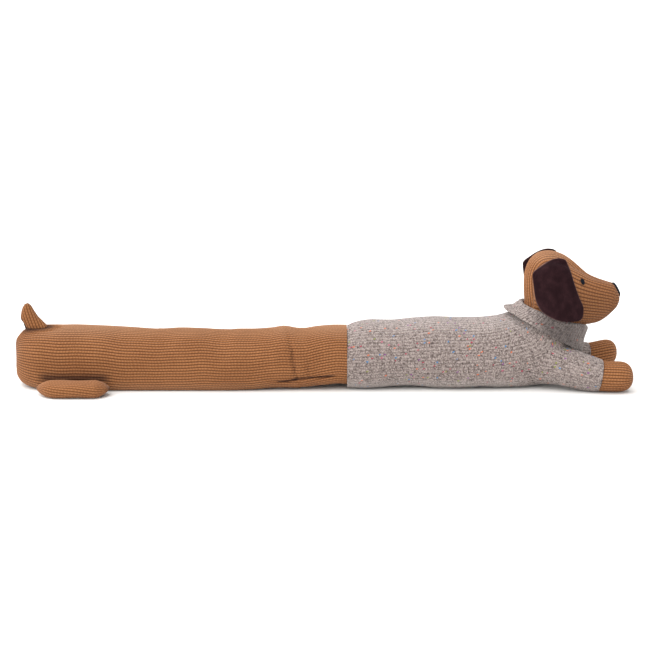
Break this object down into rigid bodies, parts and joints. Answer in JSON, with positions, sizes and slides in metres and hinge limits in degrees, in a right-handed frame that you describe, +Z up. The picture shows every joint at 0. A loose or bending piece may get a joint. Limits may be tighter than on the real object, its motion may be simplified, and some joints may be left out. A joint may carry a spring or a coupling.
{
  "type": "draught excluder",
  "caption": "Long stuffed dog that lies along a door's foot: rib-knit body, tweed-knit jumper with folded collar, velvet ears.",
  "frame": {"origin": "middle of the box that holds the whole dog, on the surface it lies on", "axes": "+X along the body from the tail to the nose, +Z up; the dog's right side faces -Y"},
  "size_m": [0.8962, 0.1902, 0.1978],
  "materials": {
    "rib_knit": "ochre-brown rib knit, matt",
    "tweed_knit": "grey-beige marl knit with coloured flecks, matt",
    "velvet": "dark brown short-pile velvet",
    "dark_thread": "near-black satin-stitched thread"
  },
  "bodies": {
    "root": {"hind_body": "rib_knit", "tail": "rib_knit", "hind_foot_right": "rib_knit", "hind_foot_left": "rib_knit", "fore_paw_right": "rib_knit", "fore_paw_left": "rib_knit", "head_side_right": "rib_knit", "head_side_left": "rib_knit", "head_gusset": "rib_knit", "jumper_body": "tweed_knit", "jumper_sleeve_right": "tweed_knit", "jumper_sleeve_left": "tweed_knit", "jumper_collar": "tweed_knit", "ear_right": "velvet", "ear_left": "velvet", "eye_right": "dark_thread", "eye_left": "dark_thread", "nose": "dark_thread"}
  },
  "joints": []
}
